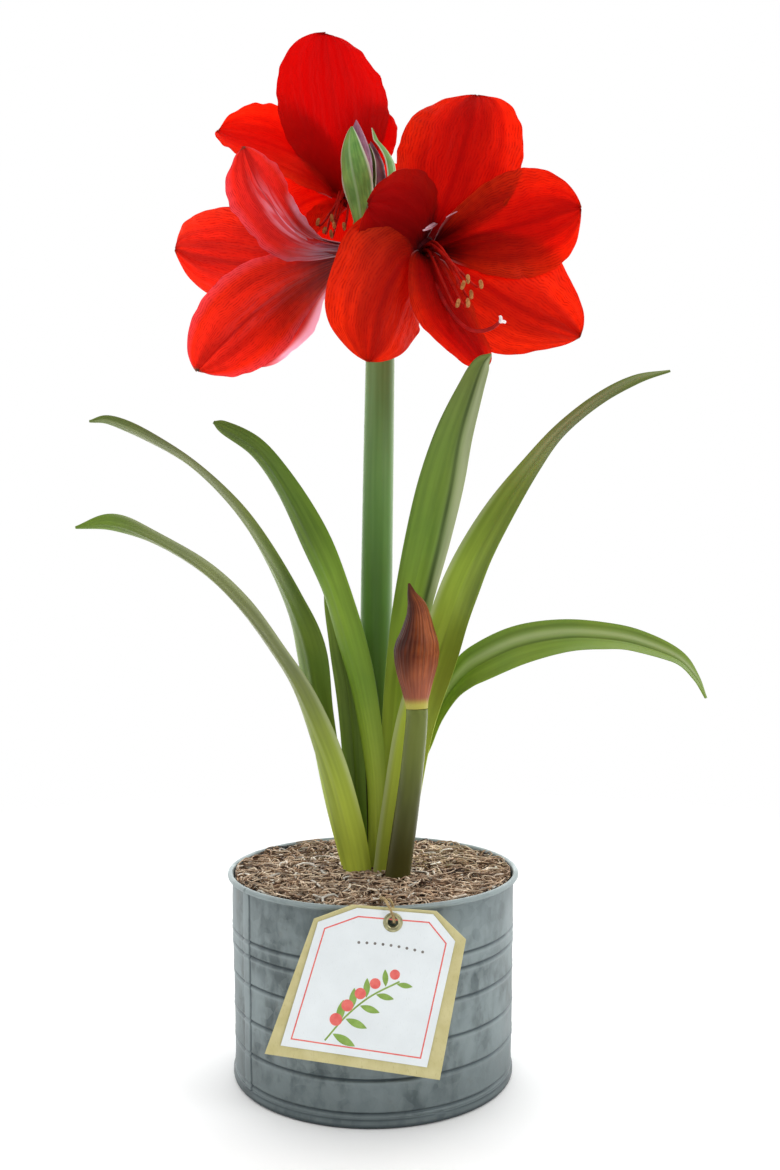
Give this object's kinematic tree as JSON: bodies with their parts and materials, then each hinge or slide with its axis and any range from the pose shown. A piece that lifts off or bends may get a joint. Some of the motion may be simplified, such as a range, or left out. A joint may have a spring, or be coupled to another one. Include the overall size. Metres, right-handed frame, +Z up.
{
  "type": "potted amaryllis",
  "caption": "Flowering amaryllis bulb in a round galvanised tin pot, with strap leaves, a hollow scape in full bloom, a young budded scape and a kraft hang tag on twine.",
  "frame": {"origin": "on the pot's axis, at the surface that the pot stands on", "axes": "+Z up along the flowering scape; -Y is the front, where the hang tag is; +X is to the right seen from the front"},
  "size_m": [0.3585, 0.1813, 0.632],
  "materials": {
    "galvanised": "mottled hot-dip zinc spangle, satin",
    "soil": "damp dark potting mix",
    "moss": "curly dry tan wood wool and moss",
    "bulb_skin": "dry papery brown scales over a fleshy bulb",
    "leaf": "smooth waxy mid-green",
    "scape": "smooth grey-green, slightly bloomed",
    "young_scape": "smooth olive, brownish at the foot",
    "spathe": "copper red with fine lengthwise streaks",
    "tepal": "velvety translucent scarlet",
    "stamen": "dark red filaments with yellow-olive anthers",
    "pedicel": "smooth green",
    "bract": "dry papery brown",
    "bud_heart": "satin purple-pink",
    "bud_sepal": "satin green with pale margins",
    "kraft": "plain brown kraft board",
    "card": "smooth white card with a thin red border",
    "eyelet": "aged brass, satin",
    "twine": "hairy twisted jute"
  },
  "bodies": {
    "root": {"pot_wall": "galvanised", "pot_base": "galvanised", "potting_mix": "soil", "moss_topping": "moss", "bulb": "bulb_skin", "leaf_1": "leaf", "leaf_2": "leaf", "leaf_3": "leaf", "leaf_4": "leaf", "leaf_5": "leaf", "leaf_6": "leaf", "leaf_7": "leaf", "scape_main": "scape", "scape_young": "young_scape", "spathe_young": "spathe", "bract_left": "bract", "bract_right": "bract", "bloom_right": "tepal", "stamens_right": "stamen", "bloom_left": "tepal", "stamens_left": "stamen", "bloom_back": "tepal", "stamens_back": "stamen", "pedicel_right": "pedicel", "pedicel_left": "pedicel", "pedicel_back": "pedicel", "pedicel_bud_a": "pedicel", "pedicel_bud_b": "pedicel", "bud_a_heart": "bud_heart", "bud_a_sepals": "bud_sepal", "bud_b_heart": "bud_heart", "bud_b_sepals": "bud_sepal", "tag_backing": "kraft", "tag_card": "card", "tag_eyelet": "eyelet", "tag_twine": "twine"}
  },
  "joints": []
}
